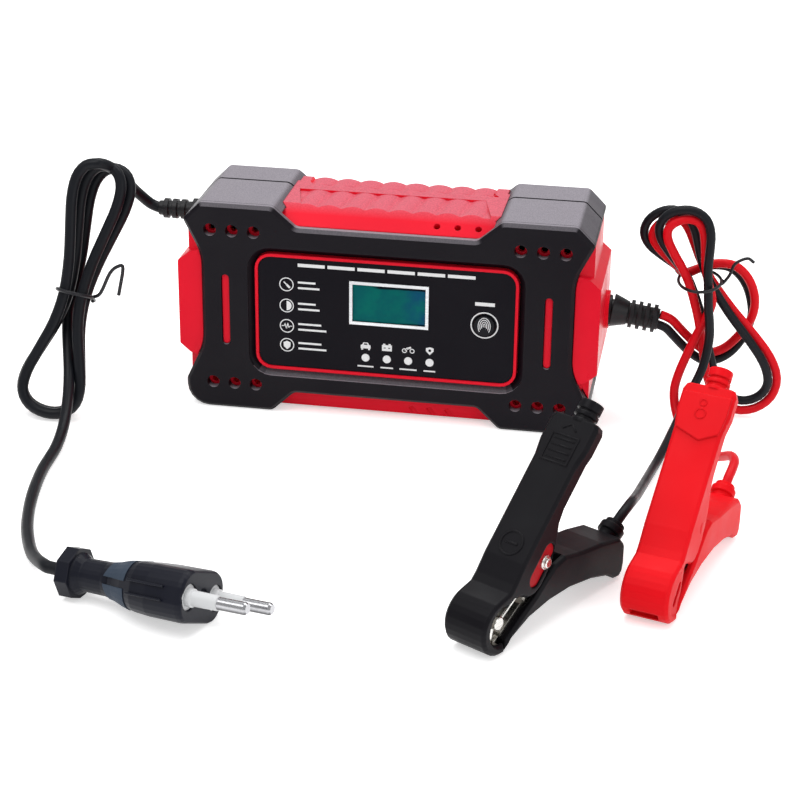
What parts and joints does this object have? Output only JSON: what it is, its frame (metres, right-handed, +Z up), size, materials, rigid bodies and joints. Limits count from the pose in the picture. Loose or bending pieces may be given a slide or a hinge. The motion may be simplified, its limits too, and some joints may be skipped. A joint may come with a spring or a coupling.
{
  "type": "car battery charger",
  "caption": "Boxy battery charger with bumpered case, display panel, mains plug on a tied cord and two output leads ending in spring battery clamps.",
  "frame": {"origin": "under the middle of the case, on the surface it stands on", "axes": "+X along the case's width, to the right as seen from the front; -Y is the case's front with its panel; +Z up"},
  "size_m": [0.3348, 0.2646, 0.1112],
  "materials": {
    "black_plastic": "fine spark-eroded texture",
    "red_plastic": "semi-gloss",
    "panel_film": "satin film",
    "silver_trim": "satin",
    "display": "clear window over a teal display",
    "button_plastic": "satin",
    "switch_plastic": "matte",
    "lens": "clear white",
    "circuit_board": "solder mask",
    "ferrite": "matte",
    "winding_tape": "tape",
    "heat_sink_metal": "extruded",
    "capacitor_sleeve": "sleeve",
    "copper_wire": "enamelled wire",
    "fuse_glass": "clear tube",
    "steel": "zinc plated",
    "black_rubber": "matte",
    "black_cord": "satin",
    "red_cord": "satin",
    "plug_plastic": "satin",
    "grip_plastic": "matte",
    "pin_metal": "nickel plated",
    "white_plastic": "gloss",
    "clamp_black": "satin",
    "clamp_red": "satin"
  },
  "bodies": {
    "charger": {"front_bumper": "black_plastic", "rear_bumper": "black_plastic", "front_shell": "red_plastic", "rear_shell": "red_plastic", "control_panel": "panel_film", "lcd_bezel": "silver_trim", "lcd_glass": "display", "tact_switch": "switch_plastic", "led_lenses": "lens", "display_board": "circuit_board", "main_board": "circuit_board", "transformer_core": "ferrite", "transformer_coil": "winding_tape", "heat_sink": "heat_sink_metal", "power_transistors": "switch_plastic", "mains_capacitor": "capacitor_sleeve", "output_capacitors": "capacitor_sleeve", "choke": "copper_wire", "bridge_rectifier": "switch_plastic", "fuse": "fuse_glass", "case_screws": "steel", "board_screws": "steel", "ac_gland": "black_rubber", "dc_gland": "black_rubber", "mains_cord": "black_cord", "mains_hank": "black_cord", "mains_tail": "black_cord", "mains_tie": "black_cord", "plug_body": "plug_plastic", "plug_grips": "grip_plastic", "plug_pins": "pin_metal", "pin_bases": "white_plastic", "red_lead": "red_cord", "black_lead": "black_cord", "red_hank": "red_cord", "black_hank": "black_cord", "lead_tie": "black_cord", "red_clamp_lead": "red_cord", "black_clamp_lead": "black_cord", "black_lower_cover": "clamp_black", "black_lower_jaw": "steel", "black_pivot_pin": "steel", "black_spring": "steel", "red_lower_cover": "clamp_red", "red_lower_jaw": "steel", "red_pivot_pin": "steel", "red_spring": "steel"},
    "mode_button": {"mode_button": "button_plastic"},
    "black_clamp_top": {"black_upper_cover": "clamp_black", "black_inlays": "clamp_red", "black_upper_jaw": "steel"},
    "red_clamp_top": {"red_upper_cover": "clamp_red", "red_upper_jaw": "steel"}
  },
  "joints": [
    {"name": "mode_button_press", "type": "slide", "parent": "charger", "child": "mode_button", "axis": [0, 1, 0], "range_m": [0, 0.0006], "stiffness_N_per_m": 800, "springref_m": -0.0008},
    {"name": "black_clamp_hinge", "type": "hinge", "parent": "charger", "child": "black_clamp_top", "pos_m": [0.08215, -0.19173, 0.0273], "axis": [-0.8686, 0.4955, 0], "range_deg": [0, 32], "stiffness_Nm_per_rad": 0.7, "springref_deg": -34.38, "deforming": ["black_spring"]},
    {"name": "red_clamp_hinge", "type": "hinge", "parent": "charger", "child": "red_clamp_top", "pos_m": [0.1354, -0.15568, 0.0273], "axis": [-0.9613, 0.2756, 0], "range_deg": [0, 32], "stiffness_Nm_per_rad": 0.7, "springref_deg": -34.38, "deforming": ["red_spring"]}
  ]
}
